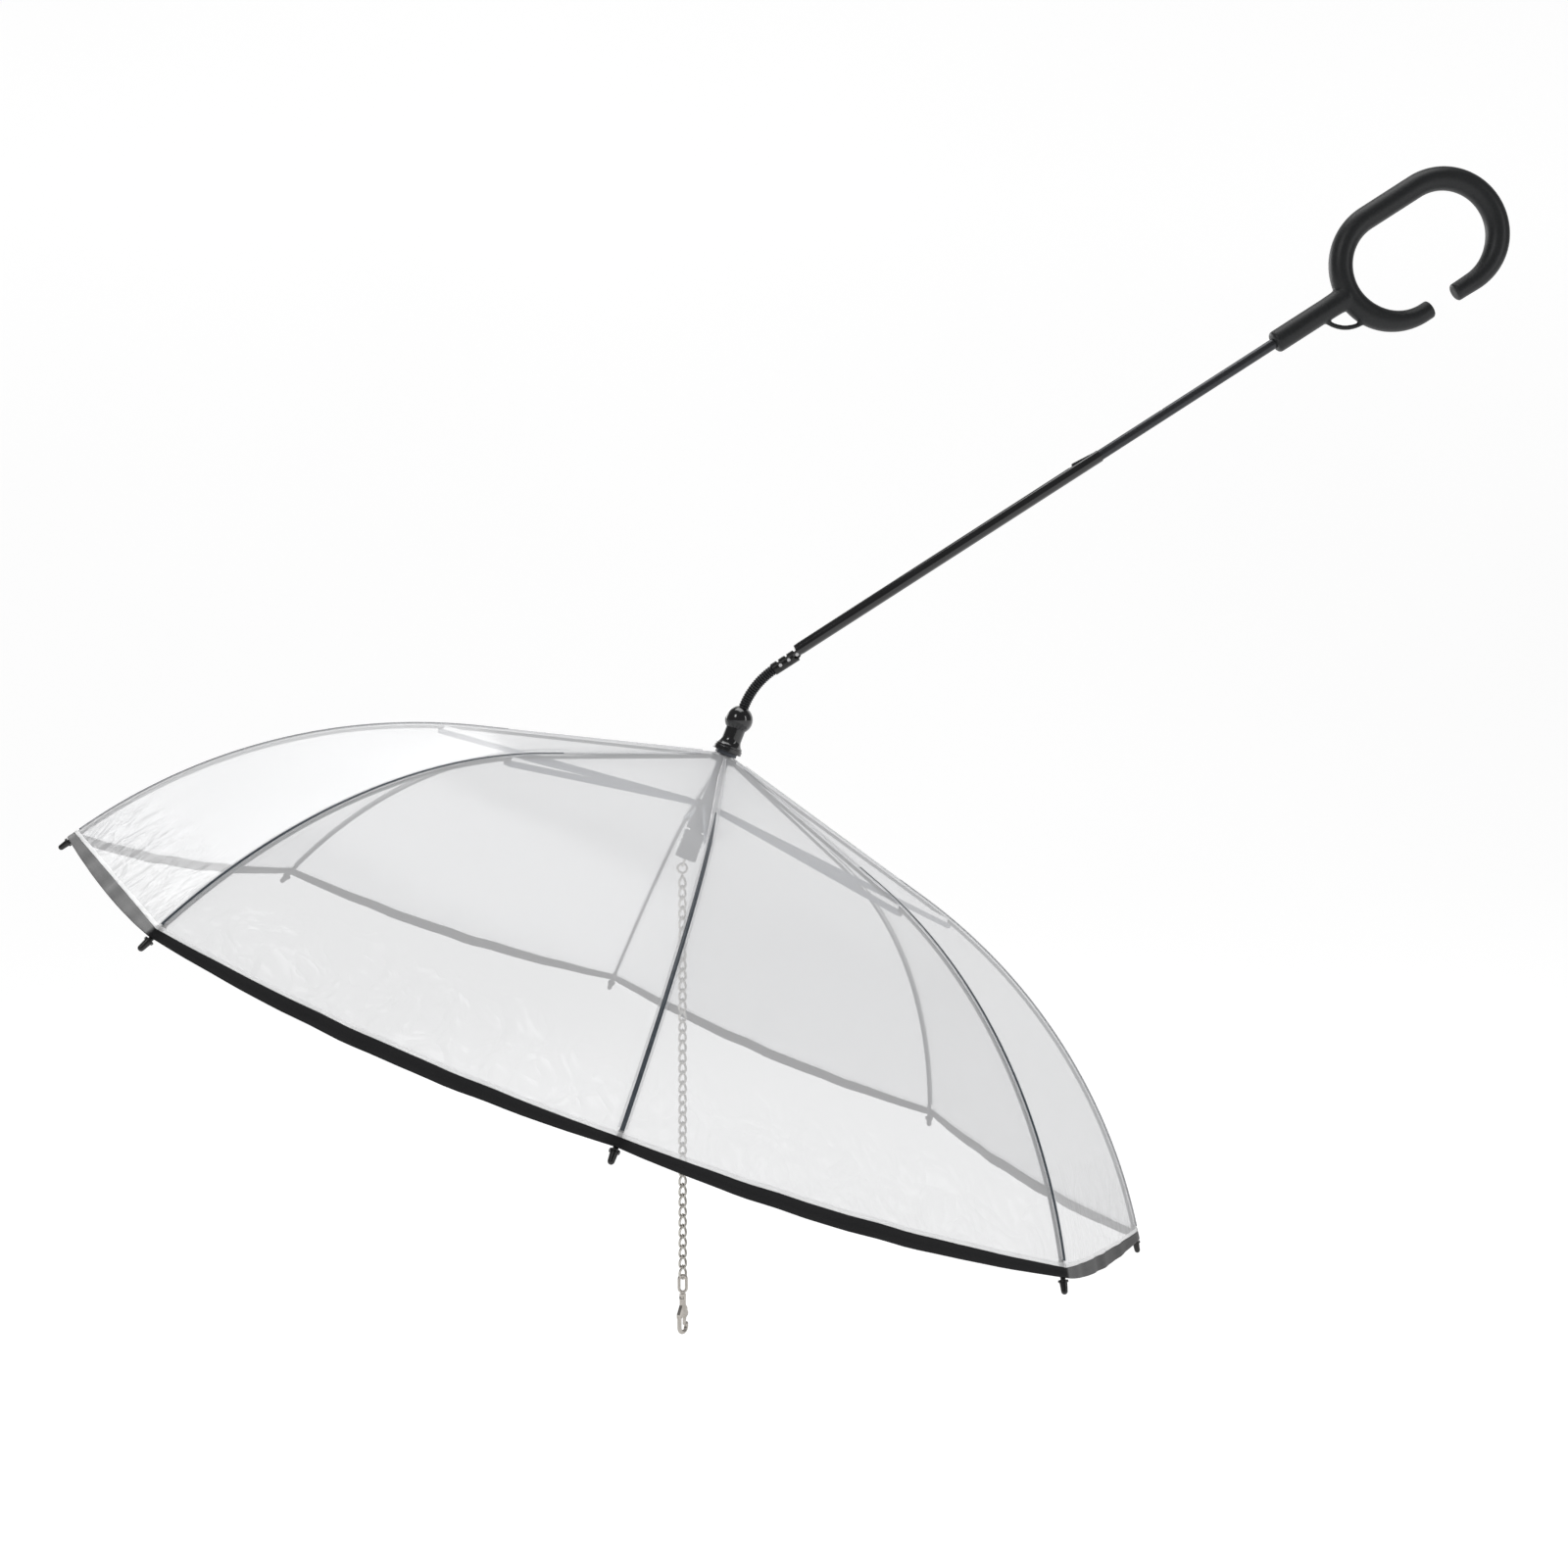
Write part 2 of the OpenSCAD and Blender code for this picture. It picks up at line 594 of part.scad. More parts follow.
// The last stretch, under the binding, is straight
hem_u = 1 - 12 / rim_len;
function film_arc(u) =
    let (a = film_slope + (film_end_slope - film_slope) * (u - film_bend) / (1 - film_bend))
    [film_centre[0] + film_arc_r * sin(a), film_centre[1] + film_arc_r * cos(a)];
hem_top = film_arc(hem_u);
hem_slope = atan2(hem_top[1] - film_arc(1)[1], film_arc(1)[0] - hem_top[0]);
function film_profile(u) =
    u < film_bend ?
        let (r = film_hole_r + (bend_r - film_hole_r) * u / film_bend) [r, dome_h - r * tan(film_slope)] :
    u < hem_u ? film_arc(u) :
        hem_top + (film_arc(1) - hem_top) * (u - hem_u) / (1 - hem_u);
function profile_slope(u) =
    u < film_bend ? film_slope :
    u < hem_u - eps ? film_slope + (film_end_slope - film_slope) * (u - film_bend) / (1 - film_bend) :
    hem_slope;
// Point on the film: share u outward, share w across gore k from its rib (0) to the next one (1),
// at a depth below the outer surface
function film_point(u, k, w, depth) =
    let (p = film_profile(u), s = profile_slope(u), step = 360 / ribs, a0 = k * step,
         r = p[0] - depth * sin(s), z = p[1] - depth * cos(s),
         from = [cos(a0), sin(a0)] * r, to = [cos(a0 + step), sin(a0 + step)] * r,
         flat = from * (1 - w) + to * w, half = r * sin(step / 2),
         hang = film_sag * half * 4 * w * (1 - w) * min(1, u * 3), mid = a0 + step / 2)
    [flat[0] - hang * cos(mid) * sin(s), flat[1] - hang * sin(mid) * sin(s), z - hang * cos(s)];
gore_steps = 6;
gore_gap = 0.04;
// A cross-section of gore k at share u: along the outer face and back along the inner one
function belly(w) = rim_belly * 4 * w * (1 - w) / rim_len;
function gore_section(u, k, depth) =
    let (chord = 2 * film_profile(u)[0] * sin(180 / ribs), edge = gore_gap / chord,
         across = [for (c = [0:gore_steps]) edge + (1 - 2 * edge) * c / gore_steps],
         past = u < 1 ? 0 : 1)
    concat([for (c = [0:gore_steps]) film_point(u + past * belly(across[c]), k, across[c], 0)],
           [for (c = [gore_steps:-1:0]) film_point(u + past * belly(across[c]), k, across[c], depth)]);
module gore(k, shares, depth) { skin([for (u = shares) gore_section(u, k, depth)]); }
module canopy_film() {
    color(clear_film) at_head() for (k = [0:ribs - 1])
        gore(k, concat([for (i = [0:film_rows]) hem_u * i / film_rows], [1]), film_t);
}
// The binding is a tape folded over the film's edge. It is narrow at the ribs and wider in between.
binding_t = 0.3;
function binding_share(w) = (binding_w - 3.2 * (1 - 4 * w * (1 - w))) / rim_len;
function binding_section(k, w) =
    let (edge = 1 + belly(w), top = edge - binding_share(w), end = edge + 0.6 / rim_len, gap = 0.04,
         inner = edge + gap / rim_len, face = -binding_t - gap, back = film_t + gap + binding_t)
    [film_point(top, k, w, face), film_point(end, k, w, face), film_point(end, k, w, back),
     film_point(top, k, w, back), film_point(top, k, w, film_t + gap), film_point(inner, k, w, film_t + gap),
     film_point(inner, k, w, -gap), film_point(top, k, w, -gap)];
module rim_binding() {
    edge = gore_gap / (2 * rim_r * sin(180 / ribs));
    color(black) at_head() for (k = [0:ribs - 1])
        skin([for (c = [0:gore_steps]) binding_section(k, edge + (1 - 2 * edge) * c / gore_steps)]);
}

// ------------------------------------------------------------------ ribs
flat_len = 9;
module rib(k) {
    flat_h = 1;
    run = sqrt(rib_reach ^ 2 - rib_arc_r ^ 2);
    color(steel_grey) at_rib(k) {
        difference() {
            translate([notch_r, 0, notch_z]) rotate([0, rib_slope, 0]) union() {
                cross_rod(eye_r, tongue_t);
                translate([0, -tongue_t / 2, -flat_h / 2]) cube([flat_len, tongue_t, flat_h]);
                translate([flat_len - 1, 0, 0]) rod(rib_d / 2 - 0.02, run - flat_len + 2);
            }
            translate([notch_r, 0, notch_z]) cross_rod(pin_r + pin_fit, 4);
        }
        translate([film_centre[0], 0, film_centre[1]])
            arc_rod(rib_arc_r, rib_d / 2, 90 - rib_end_slope, rib_end_slope - rib_slope);
        difference() {
            translate([joint_r, 0, joint_z]) rotate([0, joint_slope, 0]) plate(1.8) union() {
                circle(r = 1.5);
                translate([-1.5, 0]) square([3, joint_drop - 0.2]);
            }
            translate([joint_r, 0, joint_z]) cross_rod(0.75, 4);
        }
    }
}
// A stretcher is a pressed channel that opens upward. Its inner end is a flat eye in the runner and
// its outer end is a fork of two cheeks, each with its own half of the rivet, beside the rib's lug.
module stretcher(k) {
    half = stretcher_w / 2;
    wall = 0.6;
    low = -1.7;
    high = 1.5;
    root = 6;
    tongue_h = 1.55;
    fork = 40;
    color(steel_grey) at_rib(k) translate([runner_r, 0, runner_z]) rotate([0, stretcher_fall, 0]) {
        difference() {
            union() {
                cross_rod(eye_r, tongue_t);
                translate([0, -tongue_t / 2, -1]) cube([root + 4, tongue_t, tongue_h]);
                translate([root, -half, low]) cube([stretcher_len - root, stretcher_w, high - low]);
                translate([stretcher_len, 0, -0.1]) cross_rod((high - low) / 2, stretcher_w);
            }
            difference() {
                translate([root - 1, -half + wall, low + wall])
                    cube([stretcher_len + 6, stretcher_w - 2 * wall, high - low]);
                translate([-1, -tongue_t / 2, -1.05]) cube([root + 5, tongue_t, tongue_h + 0.05]);
            }
            translate([stretcher_len - fork, -half + wall, low - 1])
                cube([fork + 6, stretcher_w - 2 * wall, 6]);
            cross_rod(pin_r + pin_fit, 4);
        }
        for (side = [-1, 1]) translate([stretcher_len, side * (half + 0.15), 0])
            cross_rod(1.1, 0.5);
    }
}
module rib_tip(k) {
    barrel = 1.4;
    nose = 2.2;
    hold = 7;
    reach = 9.2;
    collar = 3.5;
    color(gloss_black) at_rib(k) translate([rib_end[0], 0, rib_end[1]])
        rotate([0, rib_end_slope, 0]) difference() {
            union() {
                translate([-hold, 0, 0]) rod(barrel, hold + collar);
                translate([collar, 0, 0]) rod(2.8, 1.1);
                translate([collar, 0, 0]) rotate([0, 90, 0])
                    cylinder(r1 = nose, r2 = 1.8, h = reach - collar);
                translate([reach, 0, 0]) sphere(r = 1.8);
            }
            translate([-hold - 1, 0, 0]) rod(rib_d / 2 + 0.12, hold + 1);
        }
}

// ------------------------------------------------------------------ assembly
handle_grip();
inner_tube();
slide_bush();
outer_tube();
shaft_catch();
elbow_socket();
for (i = [1:3]) {
    elbow_rivet(i);
    elbow_link(i);
}
gooseneck_coil();
ferrule();
crown_washer();
centre_tube();
top_notch();
rib_pins();
runner();
stretcher_pins();
end_block();
chain_bail();
chain_ring();
chain_links();
swivel_eye();
snap_hook();
hook_gate();
gate_pin();
canopy_film();
rim_binding();
for (k = [1:ribs]) {
    rib(k);
    stretcher(k);
    rib_tip(k);
}
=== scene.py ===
"""Looks for the clear dome dog-walking umbrella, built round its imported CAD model. Metres."""
import json
import math

import bpy
import numpy as np
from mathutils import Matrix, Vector


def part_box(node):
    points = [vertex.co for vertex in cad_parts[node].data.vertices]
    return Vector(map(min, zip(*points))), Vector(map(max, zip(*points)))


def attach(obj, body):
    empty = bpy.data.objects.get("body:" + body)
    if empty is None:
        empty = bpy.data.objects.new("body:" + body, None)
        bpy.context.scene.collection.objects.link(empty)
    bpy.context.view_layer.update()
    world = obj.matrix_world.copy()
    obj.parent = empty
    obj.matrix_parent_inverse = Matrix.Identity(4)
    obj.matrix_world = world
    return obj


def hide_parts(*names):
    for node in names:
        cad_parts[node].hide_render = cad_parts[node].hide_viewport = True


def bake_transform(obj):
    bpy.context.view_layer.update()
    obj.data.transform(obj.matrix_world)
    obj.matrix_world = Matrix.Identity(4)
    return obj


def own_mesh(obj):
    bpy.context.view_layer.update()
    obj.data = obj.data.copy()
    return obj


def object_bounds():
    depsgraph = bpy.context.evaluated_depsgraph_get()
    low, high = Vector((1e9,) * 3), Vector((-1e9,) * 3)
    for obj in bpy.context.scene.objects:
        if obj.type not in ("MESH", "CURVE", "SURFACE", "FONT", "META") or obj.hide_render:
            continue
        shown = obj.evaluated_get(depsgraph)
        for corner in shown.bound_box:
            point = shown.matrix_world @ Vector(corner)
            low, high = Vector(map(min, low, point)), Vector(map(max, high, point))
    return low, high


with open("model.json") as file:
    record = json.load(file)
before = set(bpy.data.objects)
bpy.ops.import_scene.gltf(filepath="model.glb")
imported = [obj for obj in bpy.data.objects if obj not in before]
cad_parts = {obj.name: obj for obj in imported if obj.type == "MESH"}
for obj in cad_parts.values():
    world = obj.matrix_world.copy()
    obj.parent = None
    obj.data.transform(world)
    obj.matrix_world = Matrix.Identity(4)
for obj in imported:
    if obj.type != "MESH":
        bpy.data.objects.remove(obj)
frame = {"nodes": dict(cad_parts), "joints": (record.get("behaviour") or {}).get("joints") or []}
CAD_BOX = [list(v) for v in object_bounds()]
NODES = frame["nodes"]
JOINTS = {j["name"]: j for j in frame["joints"]}

# ---------------------------------------------------------------- sizes shared with the CAD
MM = 0.001
RIBS = 8
STEP = 2 * math.pi / RIBS
DOME_H = 195.2 * MM
RIM_R = 360 * MM
BEND_R = 150 * MM
FILM_SLOPE = math.radians(15)
FILM_SAG = 0.03
STRAIGHT_SHARE = 0.42
NOTCH_DROP = 4.6 * MM
TUBE_R = 3.8 * MM
BINDING_W = 8 * MM
RIM_BELLY = 7 * MM
TIGHT_GORE = 4
TIGHT_BELLY = 3 * MM
RING_R = 35.5 * MM
RING_STRAIGHT = 38 * MM
RING_GAP = 20.5 * MM
GAP_SHIFT = -4.5 * MM
GRIP_R = 7.7 * MM
GRIP_END_R = 6 * MM
GRIP_TAPER = 48 * MM
SLEEVE_LEN = 58 * MM
COIL_R = 3.5 * MM
COIL_WIRE = 1.6 * MM
COIL_CHORD = 31.5 * MM
COIL_SEAT = 7 * MM
LINK_COUNT = 39
CHAIN_PITCH = 6.5 * MM
CHAIN_WIRE = 1.7 * MM
LINK_SIDE = 2.35 * MM
LINK_TURN = math.radians(35)
LINK_TWIST = math.radians(84)
EYE_CENTRE = (-56.5 * MM, 1.5 * MM)
EYE_R = 21 * MM
EYE_START = math.radians(196)
EYE_SPAN = math.radians(80)
EYE_WIRE_R = 1.6 * MM

# ---------------------------------------------------------------- sizes of the visual pieces only
FILM_ROWS = 90
HALF_COLS = 16
WELD_HALF = 2.8 * MM
# half width of the dark rib line, with the rib's painted shadow beside it
SEAM_AND_SHADOW_HALF = 1.35 * MM
WIRE_FIT = 0.985
LINK_WIRE_FIT = 0.94
GRIP_VOXEL = 0.6 * MM

# ---------------------------------------------------------------- directions and places
UP = Vector(JOINTS["runner_slide"]["axis"]).normalized()
ACROSS = Vector((0, 1, 0))
FORE = ACROSS.cross(UP)
notches = [Vector(JOINTS[f"rib_{k}_fold"]["pos_m"]) for k in range(1, RIBS + 1)]
HEAD = sum(notches, Vector()) / RIBS - UP * (DOME_H - NOTCH_DROP)
SHAFT = Vector(JOINTS["shaft_telescope"]["axis"]).normalized()
SHAFT_UP = SHAFT.cross(ACROSS)


def at_head(x, y, z):
    """A point of the canopy's own frame, whose origin is the middle of the rim plane."""
    return HEAD + FORE * x + ACROSS * y + UP * z


def at_shaft(x, z, y=0.0):
    """A point of the shaft's own frame, whose origin is the middle of the grip."""
    return SHAFT * x + SHAFT_UP * z + ACROSS * y


# ---------------------------------------------------------------- camera
def make_camera():
    data = bpy.data.cameras.new("camera")
    data.sensor_width = 36
    data.lens = 52.79
    data.dof.use_dof = False
    data.clip_end = 30
    camera = bpy.data.objects.new("camera", data)
    camera.location = (-0.5196, -1.4461, -0.3048)
    camera.rotation_euler = (math.radians(90 - 1.454), 0, math.radians(-4.40))
    bpy.context.scene.collection.objects.link(camera)
    bpy.context.scene.camera = camera


make_camera()


# ---------------------------------------------------------------- materials
def new_material(name):
    m = bpy.data.materials.new(name)
    m.use_nodes = True
    tree = m.node_tree
    shader = tree.nodes["Principled BSDF"]
    return m, tree, shader


def set_inputs(shader, **values):
    for key, value in values.items():
        shader.inputs[key.replace("_", " ")].default_value = value


def noise_node(tree, scale, detail=3.0, stretch=(1, 1, 1)):
    coords = tree.nodes.new("ShaderNodeTexCoord")
    mapping = tree.nodes.new("ShaderNodeMapping")
    mapping.inputs["Scale"].default_value = stretch
    noise = tree.nodes.new("ShaderNodeTexNoise")
    noise.inputs["Scale"].default_value = scale
    noise.inputs["Detail"].default_value = detail
    tree.links.new(coords.outputs["Object"], mapping.inputs["Vector"])
    tree.links.new(mapping.outputs["Vector"], noise.inputs["Vector"])
    return noise


def ramp_from(tree, source, low, high, start=0.35, end=0.65):
    """A colour ramp from low to high, driven by source."""
    ramp = tree.nodes.new("ShaderNodeValToRGB")
    ramp.color_ramp.elements[0].position = start
    ramp.color_ramp.elements[1].position = end
    ramp.color_ramp.elements[0].color = (*low, 1)
    ramp.color_ramp.elements[1].color = (*high, 1)
    tree.links.new(source, ramp.inputs["Fac"])
    return ramp.outputs["Color"]


def range_from(tree, source, low, high):
    ranged = tree.nodes.new("ShaderNodeMapRange")
    ranged.inputs["To Min"].default_value = low
    ranged.inputs["To Max"].default_value = high
    tree.links.new(source, ranged.inputs["Value"])
    return ranged.outputs["Result"]


def bump_from(tree, source, strength, distance):
    bump = tree.nodes.new("ShaderNodeBump")
    bump.inputs["Strength"].default_value = strength
    bump.inputs["Distance"].default_value = distance
    tree.links.new(source, bump.inputs["Height"])
    return bump.outputs["Normal"]


def surface(name, low, high, rough, scale=400, metal=0.0, bump=0.0, coat=0.0, stretch=(1, 1, 1),
            specular=0.5):
    """An opaque material: colour and roughness vary a little by noise, with a fine bump."""
    m, tree, shader = new_material(name)
    noise = noise_node(tree, scale, stretch=stretch)
    tree.links.new(ramp_from(tree, noise.outputs["Fac"], low, high), shader.inputs["Base Color"])
    tree.links.new(range_from(tree, noise.outputs["Fac"], rough[0], rough[1]), shader.inputs["Roughness"])
    if bump:
        tree.links.new(bump_from(tree, noise.outputs["Fac"], bump, 0.0002), shader.inputs["Normal"])
    set_inputs(shader, Metallic=metal, Coat_Weight=coat, Coat_Roughness=0.08, Specular_IOR_Level=specular)
    return m


def math_node(tree, operation, first, second=None):
    """A math node: first is a socket, second a socket or a number."""
    node = tree.nodes.new("ShaderNodeMath")
    node.operation = operation
    tree.links.new(first, node.inputs[0])
    if isinstance(second, (int, float)):
        node.inputs[1].default_value = second
    elif second is not None:
        tree.links.new(second, node.inputs[1])
    return node.outputs[0]


def rim_share(tree):
    """0 over most of the dome, rising to 1 at the rim: from the height over the rim plane."""
    coords = tree.nodes.new("ShaderNodeTexCoord")
    dot = tree.nodes.new("ShaderNodeVectorMath")
    dot.operation = "DOT_PRODUCT"
    dot.inputs[1].default_value = UP
    tree.links.new(coords.outputs["Object"], dot.inputs[0])
    ranged = tree.nodes.new("ShaderNodeMapRange")
    ranged.inputs["From Min"].default_value = HEAD.dot(UP) + 0.05
    ranged.inputs["From Max"].default_value = HEAD.dot(UP) + 0.005
    tree.links.new(dot.outputs["Value"], ranged.inputs["Value"])
    return ranged.outputs["Result"]


def crease_height(tree, scale, distortion, stretch=(1, 1, 1)):
    """Sharp little folds: the distance from the middle of a noise."""
    noise = noise_node(tree, scale, detail=2, stretch=stretch)
    noise.inputs["Distortion"].default_value = distortion
    return math_node(tree, "ABSOLUTE", math_node(tree, "SUBTRACT", noise.outputs["Fac"], 0.5))


def clear_material(name, tint, haze, gloss, share_low, share_high, creases=0.0):
    """A thin clear film: partly see-through, milky with the light that falls on it from both sides."""
    m, tree, shader = new_material(name)
    noise = noise_node(tree, 9, detail=2)
    set_inputs(shader, Base_Color=(*haze, 1), Specular_IOR_Level=0.8)
    tree.links.new(range_from(tree, noise.outputs["Fac"], gloss[0], gloss[1]), shader.inputs["Roughness"])
    fine = noise_node(tree, 45, detail=3)
    normal = bump_from(tree, fine.outputs["Fac"], 0.1, 0.0006)
    if creases:
        folds = math_node(tree, "ADD", crease_height(tree, 16, 1.5), crease_height(tree, 42, 0.8))
        height = math_node(tree, "MULTIPLY", folds, rim_share(tree))
        bump = tree.nodes.new("ShaderNodeBump")
        bump.inputs["Strength"].default_value = creases
        bump.inputs["Distance"].default_value = 0.012
        tree.links.new(height, bump.inputs["Height"])
        tree.links.new(normal, bump.inputs["Normal"])
        normal = bump.outputs["Normal"]
    tree.links.new(normal, shader.inputs["Normal"])
    back = tree.nodes.new("ShaderNodeBsdfTranslucent")
    back.inputs["Color"].default_value = (*haze, 1)
    milky = tree.nodes.new("ShaderNodeMixShader")
    milky.inputs[0].default_value = 0.6
    tree.links.new(shader.outputs[0], milky.inputs[1])
    tree.links.new(back.outputs[0], milky.inputs[2])
    through = tree.nodes.new("ShaderNodeBsdfTransparent")
    through.inputs["Color"].default_value = (*tint, 1)
    facing = tree.nodes.new("ShaderNodeLayerWeight")
    facing.inputs["Blend"].default_value = 0.3
    share = range_from(tree, facing.outputs["Facing"], share_low, share_high)
    mix = tree.nodes.new("ShaderNodeMixShader")
    tree.links.new(share, mix.inputs[0])
    tree.links.new(through.outputs[0], mix.inputs[1])
    tree.links.new(milky.outputs[0], mix.inputs[2])
    tree.links.new(mix.outputs[0], tree.nodes["Material Output"].inputs["Surface"])
    return m


GRIP_BLACK = surface("grip_black", (0.010, 0.011, 0.012), (0.015, 0.016, 0.017), (0.38, 0.46), 900,
                     bump=0.2, specular=0.35)
TUBE_BLACK = surface("tube_black", (0.004, 0.004, 0.0045), (0.007, 0.007, 0.008), (0.12, 0.2), 60, coat=0.5)
TUBE_GREY = surface("tube_grey", (0.035, 0.037, 0.041), (0.05, 0.052, 0.057), (0.22, 0.3), 300,
                    metal=0.55, stretch=(1, 1, 8))
LINK_BLACK = surface("link_black", (0.003, 0.003, 0.003), (0.006, 0.006, 0.006), (0.25, 0.35), 500)
FERRULE_BLACK = surface("ferrule_black", (0.004, 0.004, 0.005), (0.006, 0.006, 0.007), (0.14, 0.2), 80,
                        coat=0.6)
SPRING_BLACK = surface("spring_black", (0.018, 0.019, 0.021), (0.03, 0.031, 0.034), (0.3, 0.4), 700,
                       metal=0.5)
CATCH_BLACK = surface("catch_black", (0.03, 0.03, 0.032), (0.05, 0.05, 0.053), (0.35, 0.45), 500)
RIVET_STEEL = surface("rivet_steel", (0.75, 0.75, 0.76), (0.88, 0.88, 0.88), (0.3, 0.4), 900, metal=0.7)
CHAIN_STEEL = surface("chain_steel", (0.42, 0.40, 0.37), (0.56, 0.54, 0.50), (0.16, 0.26), 500, metal=1.0)
HOOK_STEEL = surface("hook_steel", (0.40, 0.375, 0.345), (0.52, 0.49, 0.455), (0.24, 0.34), 250,
                     metal=1.0, bump=0.1)
HUB_GREY = surface("hub_grey", (0.045, 0.052, 0.066), (0.065, 0.073, 0.09), (0.35, 0.5), 200, bump=0.1)
RIB_STEEL = surface("rib_steel", (0.018, 0.023, 0.03), (0.032, 0.038, 0.048), (0.25, 0.35), 500, metal=0.2)
STRETCHER_STEEL = surface("stretcher_steel", (0.15, 0.17, 0.21), (0.2, 0.22, 0.26), (0.4, 0.5), 300,
                          metal=0.1)
TIP_BLACK = surface("tip_black", (0.004, 0.004, 0.004), (0.007, 0.007, 0.007), (0.25, 0.35), 400)
BINDING_BLACK = surface("binding_black", (0.004, 0.004, 0.005), (0.008, 0.008, 0.009), (0.45, 0.55), 1800,
                        bump=0.4, specular=0.25)
CENTRE_STEEL = surface("centre_steel", (0.1, 0.11, 0.13), (0.14, 0.15, 0.17), (0.3, 0.4), 300, metal=0.5)
FILM = clear_material("clear_film", (0.975, 0.977, 0.98), (0.76, 0.762, 0.77), (0.14, 0.26), 0.54, 0.66,
                      creases=0.8)
# whiter haze than the film: partly the doubled film at the weld, partly a painted highlight along the seams
WELD_WITH_HIGHLIGHT = clear_material("film_weld_with_highlight", (0.97, 0.975, 0.98), (0.92, 0.92, 0.93), (0.08, 0.16), 0.35, 0.8)
# near-white film for the hem ridge: a painted highlight line along the binding's upper edge
HEM_HIGHLIGHT = clear_material("film_hem_painted_highlight", (0.98, 0.98, 0.98), (0.97, 0.97, 0.97), (0.05, 0.12), 0.5, 0.9)
# dark rib line on the film: the rib's own colour together with its painted shadow
SEAM_AND_SHADOW = surface("rib_in_seam_and_shadow", (0.05, 0.062, 0.075), (0.075, 0.09, 0.105), (0.3, 0.42), 300, specular=0.3)


def paint(nodes, material):
    for name in nodes:
        mesh = NODES[name].data
        mesh.materials.clear()
        mesh.materials.append(material)


paint(["handle_grip"], GRIP_BLACK)
paint(["inner_tube"], TUBE_GREY)
paint(["outer_tube", "slide_bush", "elbow_socket"], TUBE_BLACK)
paint(["shaft_catch"], CATCH_BLACK)
paint(["elbow_link_1", "elbow_link_2", "elbow_link_3"], LINK_BLACK)
paint(["elbow_rivet_1", "elbow_rivet_2", "elbow_rivet_3", "rib_pins", "stretcher_pins"], RIVET_STEEL)
paint(["gooseneck_coil"], SPRING_BLACK)
paint(["ferrule"], FERRULE_BLACK)
paint(["crown_washer", "top_notch", "runner", "end_block"], HUB_GREY)
paint(["centre_tube"], CENTRE_STEEL)
paint(["chain_bail", "chain_ring", "chain_links", "gate_pin"], CHAIN_STEEL)
paint(["swivel_eye", "snap_hook", "hook_gate"], HOOK_STEEL)
paint(["canopy_film"], FILM)
paint(["rim_binding"], BINDING_BLACK)
paint([f"rib_{k}" for k in range(1, RIBS + 1)], RIB_STEEL)
paint([f"stretcher_{k}" for k in range(1, RIBS + 1)], STRETCHER_STEEL)
paint([f"rib_tip_{k}" for k in range(1, RIBS + 1)], TIP_BLACK)


# ---------------------------------------------------------------- mesh helpers
def make_mesh(name, verts, faces, material, smooth=True):
    data = bpy.data.meshes.new(name)
    data.from_pydata([tuple(v) for v in verts], [], faces)
    data.validate()
    data.polygons.foreach_set("use_smooth", [smooth] * len(data.polygons))
    data.materials.append(material)
    obj = bpy.data.objects.new(name, data)
    bpy.context.scene.collection.objects.link(obj)
    return obj


def grid_faces(rows, cols):
    """Faces between rows of points, each cols points long."""
    faces = []
    for i in range(rows - 1):
        for j in range(cols - 1):
            a = i * cols + j
            faces.append((a, a + cols, a + cols + 1, a + 1))
    return faces


def ring_faces(rings, sides, closed=False):
    """Faces between rings of points: the last ring meets the first, or both ends get a cap."""
    faces = []
    for i in range(rings if closed else rings - 1):
        k = (i + 1) % rings
        for j in range(sides):
            after = (j + 1) % sides
            faces.append((i * sides + j, i * sides + after, k * sides + after, k * sides + j))
    if not closed:
        faces.append(tuple(range(sides - 1, -1, -1)))
        faces.append(tuple((rings - 1) * sides + j for j in range(sides)))
    return faces


def tube(points, radius, sides=10, closed=False):
    """Vertices and faces of a round tube along points. radius is a number or one per point."""
    pts = np.array([tuple(p) for p in points], float)
    n = len(pts)
    if closed:
        tangent = np.roll(pts, -1, 0) - np.roll(pts, 1, 0)
    else:
        tangent = np.gradient(pts, axis=0)
    tangent /= np.linalg.norm(tangent, axis=1)[:, None]
    radii = np.broadcast_to(np.asarray(radius, float), (n,))
    side = np.cross(tangent[0], (0.31, 0.17, 0.93))
    side /= np.linalg.norm(side)
    sides_of = []
    for i in range(n):
        side = side - tangent[i] * (side @ tangent[i])
        side /= np.linalg.norm(side)
        sides_of.append(side)
    if closed:
        first = sides_of[0]
        last = sides_of[-1] - tangent[0] * (sides_of[-1] @ tangent[0])
        last /= np.linalg.norm(last)
        turn = math.atan2(float(np.cross(last, first) @ tangent[0]), float(last @ first))
    else:
        turn = 0.0
    verts = []
    for i in range(n):
        a = sides_of[i]
        b = np.cross(tangent[i], a)
        for j in range(sides):
            t = 2 * math.pi * j / sides + turn * i / n
            verts.append(pts[i] + radii[i] * (math.cos(t) * a + math.sin(t) * b))
    return verts, ring_faces(n, sides, closed)


def joined(parts):
    """One vertex list and one face list from several."""
    verts, faces = [], []
    for v, f in parts:
        base = len(verts)
        verts.extend(v)
        faces.extend(tuple(i + base for i in face) for face in f)
    return verts, faces


def soften(names, angle=35):
    """Smooth shading on CAD nodes, with creases kept."""
    for name in names:
        data = NODES[name].data
        data.polygons.foreach_set("use_smooth", [True] * len(data.polygons))
        data.set_sharp_from_angle(angle=math.radians(angle))


def apply_modifiers(obj):
    """The object's mesh as its modifiers shape it, with none of them left on it."""
    graph = bpy.context.evaluated_depsgraph_get()
    graph.update()
    made = bpy.data.meshes.new_from_object(obj.evaluated_get(graph))
    old = obj.data
    obj.modifiers.clear()
    obj.data = made
    bpy.data.meshes.remove(old)


